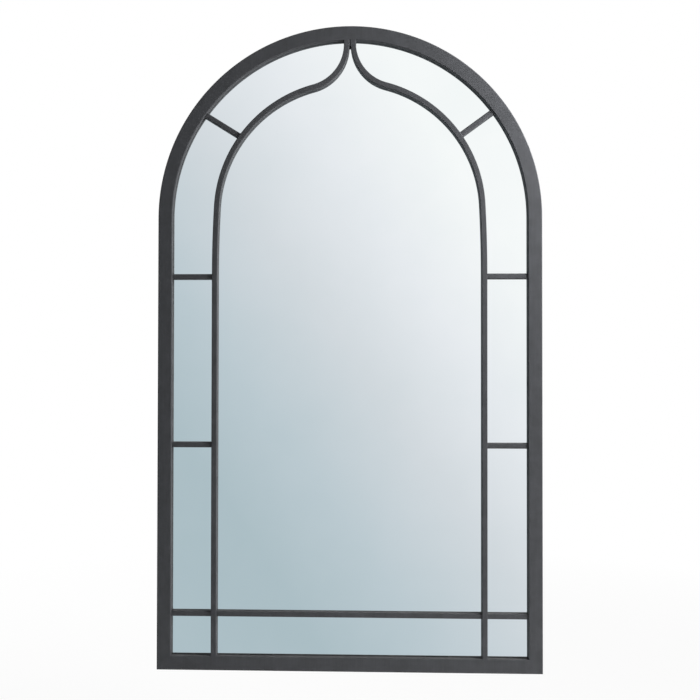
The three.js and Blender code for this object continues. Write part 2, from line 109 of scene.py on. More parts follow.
FLUSH_SINK = 2.2 * MM  # and a long bar's, past the frame's rounded edge, where it is ground flush
PAINT = 0.02 * MM  # by which a long bar stands out from the frame's face
CURVE_SAG = 0.01 * MM  # how far a facet may lie inside a bend

MIRROR_GAP = 0.3 * MM  # from the pane's edge to the tubes
MIRROR_EASE = 0.2 * MM  # along the pane's edges

BEAD_STEP = 0.3 * MM  # between the sections of a weld bead
BEAD_SCALE = 1.4 * MM  # from one scale of a bead to the next
FILLET = 0.9 * MM  # half the thickness of the small beads
BACK_BEAD_WIDTH = 2.2 * MM  # to each side of a joint at the back
BACK_BEAD_HEIGHT = 0.7 * MM
BACK_BEAD_INSET = 1.2 * MM  # from the tube's edges to a bead's ends
SEAM_START = 12 * MM  # from the front to the bead in a foot corner's inside, hidden by the mirror
CROWN_BEAD_LENGTH = 12 * MM
CROWN_BEAD_HEIGHT = 1.3 * MM

SCREW_HEAD_HEIGHT = 2.4 * MM

BUTTON_PIVOT_RADIUS = 7 * MM
BUTTON_TIP_RADIUS = 5 * MM
BUTTON_REACH = 22 * MM
BUTTON_THICKNESS = 1.5 * MM
BUTTON_EDGE = 0.3 * MM  # radius of its rounded edges

RING_WIRE_RADIUS = 1.5 * MM
RING_HALF_WIDTH = 11 * MM
RING_HEIGHT = 17 * MM
RING_CORNER = 3 * MM
RING_SPLIT = 0.3 * MM  # the cut in the leg, hidden in the strap
RING_REST_GAP = 0.3 * MM  # from the bow to the frame it leans on

STRAP_THICKNESS = 1.2 * MM
STRAP_CORNER = 4 * MM
STRAP_EASE = 0.25 * MM  # along its edges
CURL_RADIUS = 2.3 * MM  # of the strip's middle round the ring's leg
CURL_RETURN = 1.5 * MM  # of the bend that lays the strip back on itself

BUMPER_ROUND = 1.2 * MM
BUMPER_WAIST = 0.35 * MM  # from the rim at its foot in to its side

# ---------------------------------------------------------------- nodes and finishes


def linear(code):
    """A colour written as #rrggbb, in scene-linear red, green, blue and alpha."""
    parts = [int(code[i:i + 2], 16) / 255 for i in (1, 3, 5)]
    return (*[p / 12.92 if p <= 0.04045 else ((p + 0.055) / 1.055) ** 2.4 for p in parts], 1)


def put(tree, kind, inputs=None, **settings):
    """Adds a node, with its settings, and with each input linked or set."""
    node = tree.nodes.new(kind)
    for name, value in settings.items():
        setattr(node, name, value)
    for socket, value in (inputs or {}).items():
        if isinstance(value, bpy.types.NodeSocket):
            tree.links.new(value, node.inputs[socket])
        else:
            node.inputs[socket].default_value = value
    return node


def calc(tree, operation, *values):
    """A sum, product or other arithmetic of sockets and numbers."""
    return put(tree, "ShaderNodeMath", dict(enumerate(values)), operation=operation).outputs[0]


def mix_colours(tree, factor, one, other):
    return put(tree, "ShaderNodeMix", {0: factor, 6: one, 7: other}, data_type="RGBA").outputs[2]


def stretch(tree, value, low, high, to_low=0.0, to_high=1.0):
    """Maps low to high on to another range, and holds the ends."""
    node = put(tree, "ShaderNodeMapRange", {0: value, 1: low, 2: high, 3: to_low, 4: to_high})
    return node.outputs[0]


def noise_at(tree, position, scale, detail=3.0, roughness=0.55):
    inputs = {"Vector": position, "Scale": scale, "Detail": detail, "Roughness": roughness}
    return put(tree, "ShaderNodeTexNoise", inputs).outputs[0]


def effect(name, inputs, outputs):
    """An empty node group with named sockets. Returns its tree, its inputs and its output node."""
    tree = bpy.data.node_groups.new(name, "ShaderNodeTree")
    for socket, (kind, value) in inputs.items():
        made = tree.interface.new_socket(name=socket, in_out="INPUT", socket_type=kind)
        if value is not None:
            made.default_value = value
    for socket, kind in outputs.items():
        tree.interface.new_socket(name=socket, in_out="OUTPUT", socket_type=kind)
    given = tree.nodes.new("NodeGroupInput")
    return tree, given.outputs, tree.nodes.new("NodeGroupOutput")


FLOAT = "NodeSocketFloat"
COLOUR = "NodeSocketColor"
VECTOR = "NodeSocketVector"


def mottle_effect():
    """Soft patches between two colours, with finer flecks in them."""
    tree, given, out = effect("mottle", {
        "Position": (VECTOR, None),
        "Patch": (FLOAT, 40.0),
        "Fleck": (FLOAT, 900.0),
        "Share of flecks": (FLOAT, 0.4),
        "Dark": (COLOUR, None),
        "Light": (COLOUR, None),
    }, {"Color": COLOUR, "Mask": FLOAT})
    patches = stretch(tree, noise_at(tree, given["Position"], given["Patch"]), 0.3, 0.7)
    flecks = stretch(tree, noise_at(tree, given["Position"], given["Fleck"], 2.0, 0.7), 0.3, 0.7)
    mask = put(tree, "ShaderNodeMix", {0: given["Share of flecks"], 2: patches, 3: flecks}).outputs[0]
    tree.links.new(mask, out.inputs["Mask"])
    tree.links.new(mix_colours(tree, mask, given["Dark"], given["Light"]), out.inputs["Color"])
    return tree


def orange_peel_effect():
    """The low, close dimples of a sprayed, baked or moulded skin, as a height."""
    tree, given, out = effect("orange_peel", {
        "Position": (VECTOR, None),
        "Dimples": (FLOAT, 700.0),
        "Grit": (FLOAT, 3000.0),
        "Share of grit": (FLOAT, 0.3),
    }, {"Height": FLOAT})
    dimples = noise_at(tree, given["Position"], given["Dimples"], 1.0, 0.4)
    grit = noise_at(tree, given["Position"], given["Grit"], 2.0, 0.6)
    height = put(tree, "ShaderNodeMix", {0: given["Share of grit"], 2: dimples, 3: grit}).outputs[0]
    tree.links.new(height, out.inputs["Height"])
    return tree


def edge_rub_effect():
    """Where the sharp edges of a piece are rubbed, broken up by noise."""
    tree, given, out = effect("edge_rub", {
        "Position": (VECTOR, None),
        "Breaks": (FLOAT, 250.0),
        "From": (FLOAT, 0.52),
        "To": (FLOAT, 0.6),
    }, {"Mask": FLOAT})
    pointiness = tree.nodes.new("ShaderNodeNewGeometry").outputs["Pointiness"]
    edges = stretch(tree, pointiness, given["From"], given["To"])
    breaks = stretch(tree, noise_at(tree, given["Position"], given["Breaks"]), 0.35, 0.65, 0.3)
    tree.links.new(calc(tree, "MULTIPLY", edges, breaks), out.inputs["Mask"])
    return tree


def drawn_lines_effect():
    """Fine lines along one way, as rolling, drawing or wiping leaves them."""
    tree, given, out = effect("drawn_lines", {
        "Position": (VECTOR, None),
        "Across": (VECTOR, (1.0, 1.0, 1.0)),
        "Fineness": (FLOAT, 900.0),
    }, {"Mask": FLOAT})
    squeezed = put(tree, "ShaderNodeVectorMath", {0: given["Position"], 1: given["Across"]},
                   operation="MULTIPLY").outputs[0]
    lines = noise_at(tree, squeezed, given["Fineness"], 3.0, 0.65)
    tree.links.new(stretch(tree, lines, 0.3, 0.7), out.inputs["Mask"])
    return tree


def settled_dust_effect():
    """Dust that lies on faces that look up, thicker in patches."""
    tree, given, out = effect("settled_dust", {
        "Position": (VECTOR, None),
        "Patch": (FLOAT, 60.0),
    }, {"Mask": FLOAT})
    normal = tree.nodes.new("ShaderNodeNewGeometry").outputs["Normal"]
    upward = put(tree, "ShaderNodeSeparateXYZ", {0: normal}).outputs["Z"]
    level = stretch(tree, upward, 0.5, 1.0)
    patches = stretch(tree, noise_at(tree, given["Position"], given["Patch"], 4.0, 0.6), 0.3, 0.7, 0.35)
    tree.links.new(calc(tree, "MULTIPLY", level, patches), out.inputs["Mask"])
    return tree


MOTTLE = mottle_effect()
ORANGE_PEEL = orange_peel_effect()
EDGE_RUB = edge_rub_effect()
DRAWN_LINES = drawn_lines_effect()
SETTLED_DUST = settled_dust_effect()


class Finish:
    """A material with one Principled shader, filled in from effects at object positions."""

    def __init__(self, name, roughness, metallic=0.0, **sockets):
        self.material = bpy.data.materials.new(name)
        self.material.use_nodes = True
        self.tree = self.material.node_tree
        self.shader = self.tree.nodes["Principled BSDF"]
        self.shader.inputs["Roughness"].default_value = roughness
        self.shader.inputs["Metallic"].default_value = metallic
        for socket, value in sockets.items():
            self.shader.inputs[socket.replace("_", " ")].default_value = value
        self.position = self.tree.nodes.new("ShaderNodeTexCoord").outputs["Object"]

    def use(self, group, output, **inputs):
        """One output of an effect, with some of its inputs set."""
        node = put(self.tree, "ShaderNodeGroup", node_tree=group)
        self.tree.links.new(self.position, node.inputs["Position"])
        for socket, value in inputs.items():
            node.inputs[socket.replace("_", " ")].default_value = value
        return node.outputs[output]

    def colour(self, value):
        self.tree.links.new(value, self.shader.inputs["Base Color"])

    def roughness(self, value):
        self.tree.links.new(value, self.shader.inputs["Roughness"])

    def bump(self, height, distance):
        normal = put(self.tree, "ShaderNodeBump", {"Height": height, "Distance": distance}).outputs[0]
        self.tree.links.new(normal, self.shader.inputs["Normal"])


def charcoal_coat():
    """Baked powder paint: a mottled charcoal with faint streaks, dimples and a little dust."""
    coat = Finish("charcoal_powder_coat", 0.5, Specular_IOR_Level=0.15)
    tree = coat.tree
    base = coat.use(MOTTLE, "Color", Patch=55.0, Fleck=1300.0, Share_of_flecks=0.4,
                    Dark=linear("#3f4042"), Light=linear("#4b4c4f"))
    streaks = coat.use(DRAWN_LINES, "Mask", Across=(1.0, 1.0, 0.03), Fineness=420.0)
    streaked = mix_colours(tree, calc(tree, "MULTIPLY", streaks, 0.16), base, linear("#5c5d61"))
    dust = calc(tree, "MULTIPLY", coat.use(SETTLED_DUST, "Mask"), 0.1)
    coat.colour(mix_colours(tree, dust, streaked, linear("#9a9791")))
    coat.roughness(stretch(tree, coat.use(MOTTLE, "Mask", Patch=90.0, Fleck=700.0), 0.0, 1.0, 0.43, 0.56))
    coat.bump(coat.use(ORANGE_PEEL, "Height", Dimples=650.0, Grit=2600.0), 0.00003)
    return coat.material


def silvered_glass():
    """Silver seen through clear float glass: almost flat, with a faint haze of wiping. On the side
    that faces the wall the silver is painted over in dark grey."""
    glass = Finish("silvered_glass", 0.02, metallic=1.0)
    tree = glass.tree
    facing = tree.nodes.new("ShaderNodeTexCoord").outputs["Normal"]
    wallward = put(tree, "ShaderNodeSeparateXYZ", {0: facing}).outputs["Y"]
    painted = stretch(tree, wallward, 0.4, 0.6)
    silver = glass.use(MOTTLE, "Color", Patch=3.0, Fleck=9.0,
                       Dark=linear("#f1f6f6"), Light=linear("#f7fafa"))
    glass.colour(mix_colours(tree, painted, silver, linear("#3a3c3e")))
    haze = glass.use(DRAWN_LINES, "Mask", Across=(1.0, 1.0, 0.4), Fineness=14.0)
    polish = stretch(tree, haze, 0.2, 1.0, 0.012, 0.035)
    glass.roughness(calc(tree, "MULTIPLY_ADD", painted, 0.6, polish))
    return glass.material


def zinc_steel():
    """Bright zinc plating, tinted in patches, drawn along its length and rubbed at its edges."""
    zinc = Finish("zinc_plated_steel", 0.35, metallic=1.0)
    tree = zinc.tree
    base = zinc.use(MOTTLE, "Color", Patch=180.0, Fleck=1800.0,
                    Dark=linear("#a3a6aa"), Light=linear("#c6c8c9"))
    tinted = mix_colours(tree, zinc.use(MOTTLE, "Mask", Patch=110.0, Fleck=260.0), base, linear("#b9b49f"))
    toned = mix_colours(tree, 0.35, base, tinted)
    rub = calc(tree, "MULTIPLY", zinc.use(EDGE_RUB, "Mask"), 0.6)
    zinc.colour(mix_colours(tree, rub, toned, linear("#dcdcda")))
    lines = zinc.use(DRAWN_LINES, "Mask", Across=(1.0, 1.0, 0.05), Fineness=1400.0)
    zinc.roughness(stretch(tree, lines, 0.0, 1.0, 0.26, 0.46))
    zinc.bump(zinc.use(ORANGE_PEEL, "Height", Dimples=1500.0, Grit=5000.0, Share_of_grit=0.5), 0.00003)
    return zinc.material


def black_rubber():
    """Moulded rubber, dull, greyer at its edges and with dust on what faces up."""
    rubber = Finish("black_rubber", 0.75)
    tree = rubber.tree
    base = rubber.use(MOTTLE, "Color", Patch=220.0, Fleck=1500.0,
                      Dark=linear("#19191a"), Light=linear("#262627"))
    rub = calc(tree, "MULTIPLY", rubber.use(EDGE_RUB, "Mask"), 0.4)
    rubbed = mix_colours(tree, rub, base, linear("#3a3a3b"))
    dust = calc(tree, "MULTIPLY", rubber.use(SETTLED_DUST, "Mask", Patch=300.0), 0.25)
    rubber.colour(mix_colours(tree, dust, rubbed, linear("#8d8a84")))
    rubber.bump(rubber.use(ORANGE_PEEL, "Height", Dimples=1200.0, Grit=4000.0), 0.00008)
    return rubber.material


def white_foam():
    """Closed-cell sheet with fine cells."""
    foam = Finish("white_foam", 0.9)
    foam.colour(foam.use(MOTTLE, "Color", Patch=120.0, Fleck=900.0,
                         Dark=linear("#dcdcd6"), Light=linear("#eeeeea")))
    foam.bump(foam.use(ORANGE_PEEL, "Height", Dimples=900.0, Grit=2500.0), 0.0003)
    return foam.material


def fibreboard():
    """Pressed brown fibre: fine hairs both ways over soft patches, a little polished by the press."""
    board = Finish("fibreboard", 0.7)
    tree = board.tree
    base = board.use(MOTTLE, "Color", Patch=14.0, Fleck=700.0, Share_of_flecks=0.5,
                     Dark=linear("#7a5b3d"), Light=linear("#a07e5a"))
    upright = board.use(DRAWN_LINES, "Mask", Across=(1.0, 1.0, 0.12), Fineness=1100.0)
    level = board.use(DRAWN_LINES, "Mask", Across=(0.12, 1.0, 1.0), Fineness=1300.0)
    hairs = calc(tree, "MULTIPLY", stretch(tree, upright, 0.55, 0.9), stretch(tree, level, 0.3, 0.9))
    haired = mix_colours(tree, calc(tree, "MULTIPLY", hairs, 0.7), base, linear("#5c4229"))
    chips = stretch(tree, board.use(MOTTLE, "Mask", Patch=420.0, Fleck=1500.0), 0.68, 0.82)
    board.colour(mix_colours(tree, calc(tree, "MULTIPLY", chips, 0.5), haired, linear("#bb9b74")))
    board.roughness(stretch(tree, board.use(MOTTLE, "Mask", Patch=30.0, Fleck=500.0), 0.0, 1.0, 0.55, 0.8))
    board.bump(board.use(ORANGE_PEEL, "Height", Dimples=500.0, Grit=1800.0, Share_of_grit=0.5), 0.0002)
    return board.material


FINISHES = {
    "charcoal_coat": charcoal_coat(),
    "silvered_glass": silvered_glass(),
    "zinc_steel": zinc_steel(),
    "black_rubber": black_rubber(),
    "white_foam": white_foam(),
    "fibreboard": fibreboard(),
}

# ---------------------------------------------------------------- making pieces


def finish_cad_nodes():
    """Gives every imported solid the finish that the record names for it."""
    for subpart in frame["record"]["subparts"]:
        data = frame["nodes"][subpart["node"]].data
        data.materials.clear()
        data.materials.append(FINISHES[subpart["material_slot"]])


def piece(name, bm, slot, replaces=(), body="root", crease=35):
    """Turns a bmesh into a smooth-shaded piece with its finish, and hangs it on its body."""
    bmesh.ops.recalc_face_normals(bm, faces=bm.faces)
    mesh = bpy.data.meshes.new(name)
    bm.to_mesh(mesh)
    bm.free()
    mesh.shade_smooth()
    mesh.set_sharp_from_angle(angle=math.radians(crease))
    mesh.materials.append(FINISHES[slot])
    made = bpy.data.objects.new(name, mesh)
    bpy.context.scene.collection.objects.link(made)
    made.modifiers.new("flat_faces_stay_flat", "WEIGHTED_NORMAL").keep_sharp = True
    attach(made, body)
    if replaces:
        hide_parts(*replaces)


def rounded_section(depth, width, radius):
    """The outline of a bar or tube, as points with x to the front and y to the right."""
    steps = 4
    points = []
    for quarter, (x, y) in enumerate(((1, 1), (-1, 1), (-1, -1), (1, -1))):
        for step in range(steps + 1):
            angle = (quarter + step / steps) * math.pi / 2
            points.append((
                x * (depth / 2 - radius) + radius * math.cos(angle),
                y * (width / 2 - radius) + radius * math.sin(angle),
            ))
    return points


def round_section(radius, sides):
    turns = [2 * math.pi * side / sides for side in range(sides)]
    return [(radius * math.cos(turn), radius * math.sin(turn)) for turn in turns]


def bent_line(x, z, heading, *runs):
    """Stations (x, z, heading) of a line bent in the mirror's plane.

    A run is a length straight ahead, or a pair of radius and turn, where a positive turn is to
    the left.
    """
    stations = [(x, z, heading)]
    for run in runs:
        x, z, heading = stations[-1]
        if not isinstance(run, tuple):
            stations.append((x + run * math.cos(heading), z + run * math.sin(heading), heading))
            continue
        radius, turn = run
        side = math.copysign(radius, turn)
        centre_x = x - side * math.sin(heading)
        centre_z = z + side * math.cos(heading)
        count = math.ceil(abs(turn) / (2 * math.acos(1 - CURVE_SAG / radius)))
        for i in range(1, count + 1):
            now = heading + turn * i / count
            stations.append((centre_x + side * math.sin(now), centre_z - side * math.cos(now), now))
    return stations


def sweep(bm, section, stations, depth=0.0, slants=(0, 0)):
    """Carries a section along a bent line. A slant shears an end along the line, for a mitre."""
    rings = []
    for i, (x, z, heading) in enumerate(stations):
        slant = slants[0] if i == 0 else slants[1] if i == len(stations) - 1 else 0
        ahead = Vector((math.cos(heading), 0, math.sin(heading)))
        right = ahead.cross(FORWARD) + slant * ahead
        centre = Vector((x, depth, z))
        rings.append([bm.verts.new(centre + u * FORWARD + v * right) for u, v in section])
    bridge(bm, rings)


def bridge(bm, rings):
    """Joins closed rings of vertices in turn, and closes both ends."""
    for one, other in zip(rings, rings[1:]):
        for i in range(len(one)):
            bm.faces.new((one[i - 1], one[i], other[i], other[i - 1]))
    bm.faces.new(rings[0])
    bm.faces.new(rings[-1])


def revolve(bm, profile, matrix, sides=40):
    """Turns a profile of (radius, height) round the height, which runs to the back."""
    rings = []
    for radius, height in profile:
        ring = []
        for side in range(sides):
            turn = 2 * math.pi * side / sides
            point = Vector((radius * math.cos(turn), height, radius * math.sin(turn)))
            ring.append(bm.verts.new(matrix @ point))
        rings.append(ring)
    bridge(bm, rings)


# ---------------------------------------------------------------- the frame's tubes


def frame_tubes():
    """The rolled arch, two stiles and a rail, mitred at the foot and dressed flush."""
    section = rounded_section(TUBE_DEPTH, TUBE_FACE, TUBE_CORNER)
    foot = TUBE_FACE / 2
    up = math.pi / 2
    tubes = {
        "frame_arch": (bent_line(ARCH_MIDDLE, SPRING, up, (ARCH_MIDDLE, math.pi)), (0, 0)),
        "left_stile": (bent_line(-ARCH_MIDDLE, foot, up, SPRING - foot), (1, 0)),
        "right_stile": (bent_line(ARCH_MIDDLE, foot, up, SPRING - foot), (-1, 0)),
        "bottom_rail": (bent_line(-ARCH_MIDDLE, foot, 0, 2 * ARCH_MIDDLE), (-1, 1)),
    }
    for node, (line, slants) in tubes.items():
        bm = bmesh.new()
        sweep(bm, section, line, slants=slants)
        piece(f"{node}_tube", bm, "charcoal_coat", replaces=(node,))


# ---------------------------------------------------------------- the mirror


def mirror_sheet():
    """The silvered pane, with its edges eased. It stands on its blocks and nearly meets the tubes."""
    low, high = box("mirror_glass")
    half = ARCH_INNER - MIRROR_GAP
    straight = SPRING - low.z
    line = bent_line(half, low.z, math.pi / 2, straight, (half, math.pi), straight)
    ease = MIRROR_EASE
    bm = bmesh.new()
    rings = []
    for inset, depth in ((ease, low.y), (0, low.y + ease), (0, high.y - ease), (ease, high.y)):
        rings.append([
            bm.verts.new((
                x - inset * math.sin(heading),
                depth,
                max(z + inset * math.cos(heading), low.z + inset),
            ))
            for x, z, heading in line
        ])
    bridge(bm, rings)
    piece("mirror_sheet", bm, "silvered_glass", replaces=("mirror_glass",))


# ---------------------------------------------------------------- the glazing bars


def long_bar_head(side, sign):
    """Worked out from the crown down: how far a long bar's tip is from the middle, and the centre,
    outwards and up, and the turn of its main bend."""
    low, high = box(f"{side}_long_bar")
    tip_x = min(sign * low.x, sign * high.x) + BAR_WIDTH / 2
    x = LONG_BAR_X - LEAD_RADIUS + (LEAD_RADIUS - BEND_RADIUS) * math.cos(LEAD_TURN)
    turn = math.acos((tip_x + TIP_RADIUS - x) / (BEND_RADIUS + TIP_RADIUS))
    z = high.z - UPRIGHTS[side] - (BEND_RADIUS + TIP_RADIUS) * math.sin(turn)
    return tip_x, x, z, turn


def long_bars():
    """Bars that lean in, bend round to the middle, and bend back to stand upright at the crown.

    Returns their ends, each as a point, the way out, the slant of the cut and the front's depth.
    """
    section = rounded_section(BAR_DEPTH + PAINT, BAR_WIDTH, BAR_CORNER)
    foot = TUBE_FACE - FLUSH_SINK
    ends = []
    for side, sign in SIDES:
        tip_x, _, z, turn = long_bar_head(side, sign)
        crown = SPRING + math.sqrt(ARCH_INNER ** 2 - (tip_x + BAR_WIDTH / 2) ** 2)
        lead_start = z - (LEAD_RADIUS - BEND_RADIUS) * math.sin(LEAD_TURN)
        tip_start = z + (BEND_RADIUS + TIP_RADIUS) * math.sin(turn)
        line = bent_line(
            sign * LONG_BAR_X, foot, math.pi / 2,
            lead_start - foot,
            (LEAD_RADIUS, sign * LEAD_TURN),
            (BEND_RADIUS, sign * (turn - LEAD_TURN)),
            (TIP_RADIUS, -sign * turn),
            crown + FLUSH_SINK - tip_start,
        )
        bm = bmesh.new()
        sweep(bm, section, line, depth=FRONT + (BAR_DEPTH - PAINT) / 2)
        piece(f"{side}_ogee_bar", bm, "charcoal_coat", replaces=(f"{side}_long_bar",))
        ends.append((Vector((sign * LONG_BAR_X, 0, TUBE_FACE)), -UP, 0, FRONT))
        ends.append((Vector((sign * tip_x, 0, crown)), UP, 0, FRONT))
    return ends


def cut_on_circle(point, way, centre, radius):
    """Where a bar through a point leaves a circle: how far beyond the point, and its end's slant."""
    reaches = []
    for offset in (BAR_WIDTH / 2, -BAR_WIDTH / 2):
        start = point + offset * way.cross(FORWARD) - centre
        along = start.dot(way)
        reaches.append(math.sqrt(radius ** 2 - start.length_squared + along ** 2) - along)
    return (reaches[0] + reaches[1]) / 2, (reaches[0] - reaches[1]) / BAR_WIDTH


def cross_bar(node, start, way, length, slants=(0, 0)):
    """A flat bar set back from the face, sunk a little into what it is welded to. Returns its ends."""
    sunk = start - WELD_SINK * way
    bm = bmesh.new()
    sweep(bm, rounded_section(CROSS_DEPTH, BAR_WIDTH, CROSS_CORNER),
          bent_line(sunk.x, sunk.z, math.atan2(way.z, way.x), length + 2 * WELD_SINK),
          depth=GLASS_FRONT - CROSS_DEPTH / 2, slants=slants)
    piece(f"{node}_steel", bm, "charcoal_coat", replaces=(node,))
    return [(start, -way, -slants[0], CROSS_LOW.y), (start + length * way, way, slants[1], CROSS_LOW.y)]


def level_bars():
    """Three rows of bars from the long bars to the frame, and one between the long bars."""
    outer = LONG_BAR_HIGH.x
    inner = outer - BAR_WIDTH
    across = Vector((1, 0, 0))
    ends = []
    for row in ("upper", "lower", "base"):
        height = middle(f"{row}_left_bar").z * UP
        ends += cross_bar(f"{row}_left_bar", height - ARCH_INNER * across, across, ARCH_INNER - outer)
        ends += cross_bar(f"{row}_right_bar", height + outer * across, across, ARCH_INNER - outer)
    height = middle("base_middle_bar").z * UP
    return ends + cross_bar("base_middle_bar", height - inner * across, across, 2 * inner)


def spoke_bars():
    """The two bars from the long bars' main bends to the arch, each cut to both curves."""
    ends = []
    for side, sign in SIDES:
        _, x, z, _ = long_bar_head(side, sign)
        rise = SPOKE_RISES[side]
        way = Vector((sign * math.cos(rise), 0, math.sin(rise)))
        place = SPOKE_PLACES[side]
        point = ARCH_INNER * Vector((sign * math.cos(place), 0, math.sin(place))) + SPRING * UP
        bend_centre = Vector((sign * x, 0, z))
        inner, inner_slant = cut_on_circle(point, way, bend_centre, BEND_RADIUS + BAR_WIDTH / 2)
        outer, outer_slant = cut_on_circle(point, way, SPRING * UP, ARCH_INNER)
        ends += cross_bar(f"{side}_spoke_bar", point + inner * way, way, outer - inner,
                          (inner_slant, outer_slant))
    return ends


# ---------------------------------------------------------------- welds


def weld_bead(bm, start, end, across, out, width, height, seed):
    """A bead along a joint: overlapping scales that swell in the middle and close at both ends."""
    length = (end - start).length
    steps = max(10, round(length / BEAD_STEP))
    rings = []
    for i in range(steps + 1):
        t = i / steps
        fullness = max(0.12, 1 - abs(2 * t - 1) ** 6)
        scale = 1 + 0.09 * math.sin(2 * math.pi * t * length / BEAD_SCALE)
        wander = 1 + 0.18 * noise.noise(Vector((t * length * 300, seed, 0)))
        centre = start.lerp(end, t)
        ring = []
        for u, v in round_section(1, 12):
            ring.append(bm.verts.new(
                centre + across * u * width * fullness * wander + out * v * height * fullness * scale
            ))
        rings.append(ring)
    bridge(bm, rings)


def bar_welds(ends):
    """Short fillets on both edges of every bar's end."""
    bm = bmesh.new()
    back = GLASS_FRONT - BAR_CORNER / 2
    for number, (at, way, slant, front) in enumerate(ends):
        side = way.cross(FORWARD)
        for sign in (-1, 1):
            edge = at + sign * BAR_WIDTH / 2 * (side + slant * way)
            start = Vector((edge.x, front + BAR_CORNER, edge.z))
            end = Vector((edge.x, back, edge.z))
            weld_bead(bm, start, end, way, side, FILLET, FILLET, 3 * number + sign)
    piece("bar_end_welds", bm, "charcoal_coat", crease=80)


def crown_weld():
    """The bead at the top of the slit between the long bars' tips, ground almost flush."""
    half_gap = (LONG_BAR_LOW.x - box("left_long_bar")[1].x) / 2
    high = Vector((LONG_BAR_LOW.x - half_gap, FRONT + CROWN_BEAD_HEIGHT, LONG_BAR_HIGH.z + 1 * MM))
    low = high - CROWN_BEAD_LENGTH * UP
    width = half_gap + 0.8 * MM
    bm = bmesh.new()
    weld_bead(bm, high, low, Vector((1, 0, 0)), FORWARD, width, CROWN_BEAD_HEIGHT - 0.25 * MM, 4)
    piece("crown_slit_weld", bm, "charcoal_coat", crease=80)


def back_welds():
    """The frame's joints, ground flush in front and left as welded behind."""
    bm = bmesh.new()
    inset = BACK_BEAD_INSET
    for sign in (-1, 1):
        across = Vector((sign, 0, 0))
        low = Vector((sign * (ARCH_INNER + inset), BACK, SPRING))
        high = Vector((sign * (ARCH_OUTER - inset), BACK, SPRING))
        weld_bead(bm, low, high, UP, -FORWARD, BACK_BEAD_WIDTH, BACK_BEAD_HEIGHT, sign)
        corner_out = Vector((sign * (ARCH_OUTER - inset), BACK, inset))
        corner_in = Vector((sign * (ARCH_INNER + inset), BACK, TUBE_FACE - inset))
        along = (corner_in - corner_out).normalized()
        square = along.cross(FORWARD)
        weld_bead(bm, corner_out, corner_in, square, -FORWARD, BACK_BEAD_WIDTH, BACK_BEAD_HEIGHT, 5 * sign)
        seam = ARCH_INNER * across + Vector((0, FRONT + SEAM_START, TUBE_FACE))
        seam_end = seam + Vector((0, TUBE_DEPTH - SEAM_START - 1 * MM, 0))
        weld_bead(bm, seam, seam_end, across, UP, FILLET, FILLET, 9 * sign)
    piece("frame_back_welds", bm, "charcoal_coat", crease=80)


# ---------------------------------------------------------------- screws


def pan_head_screw():
    """A pan-head screw with a cross recess, its head's underside at the origin, as a mesh."""
    profile = [
        (0.0003, -12), (0.7, -10.6), (1.9, -9), (2.0, 0), (3.6, 0), (3.8, 0.15), (3.8, 0.75),
        (3.72, 1.15), (3.45, 1.55), (3.0, 1.9), (2.4, 2.15), (1.6, 2.32), (0.8, 2.39), (0.0003, 2.4),
    ]
    bm = bmesh.new()
    revolve(bm, [(radius * MM, height * MM) for radius, height in profile], Matrix.Identity(4))
    bmesh.ops.recalc_face_normals(bm, faces=bm.faces)
    head = bpy.data.meshes.new("screw_blank")
    bm.to_mesh(head)
    bm.free()
    blank = bpy.data.objects.new("screw_blank", head)
    cutters = []
    for turn in (0, math.pi / 2):
        wing = bmesh.new()
        outline = [(-2.3, 2.6), (2.3, 2.6), (1.0, 1.0), (0.3, 0.75), (-0.3, 0.75), (-1.0, 1.0)]
        sides = []
        for thickness in (-1, 1):
            sides.append([
                wing.verts.new(Vector((x, y, thickness * (0.28 + 0.17 * y))) * MM) for x, y in outline
            ])
        bridge(wing, sides)
        wing.transform(Matrix.Rotation(turn, 4, "Y"))
        bmesh.ops.recalc_face_normals(wing, faces=wing.faces)
        mesh = bpy.data.meshes.new("recess_wing")
        wing.to_mesh(mesh)
        wing.free()
        cutters.append(bpy.data.objects.new("recess_wing", mesh))
    collection = bpy.context.scene.collection
    for made in (blank, *cutters):
        collection.objects.link(made)
    for cutter in cutters:
        cut = blank.modifiers.new("recess", "BOOLEAN")
        cut.object = cutter
        cut.operation = "DIFFERENCE"
        cut.solver = "EXACT"
    screw = bpy.data.meshes.new_from_object(blank.evaluated_get(bpy.context.evaluated_depsgraph_get()))
    for made in (blank, *cutters):
        bpy.data.objects.remove(made)
    return screw


def screws():
    """One screw for each in the frame, its recess stopped at a different turn every time."""
    screw = pan_head_screw()
    golden_turn = math.pi * (3 - math.sqrt(5))
    nodes = sorted(node for node in frame["nodes"] if "_screw_" in node)
    for number, node in enumerate(nodes):
        at = middle(node)
        seat = box(node)[1].y - SCREW_HEAD_HEIGHT
        bm = bmesh.new()
        bm.from_mesh(screw)
        bm.transform(Matrix.Translation((at.x, seat, at.z)) @ Matrix.Rotation(number * golden_turn, 4, "Y"))
        piece(f"{node}_pan_head", bm, "zinc_steel", replaces=(node,))


# ---------------------------------------------------------------- turn buttons


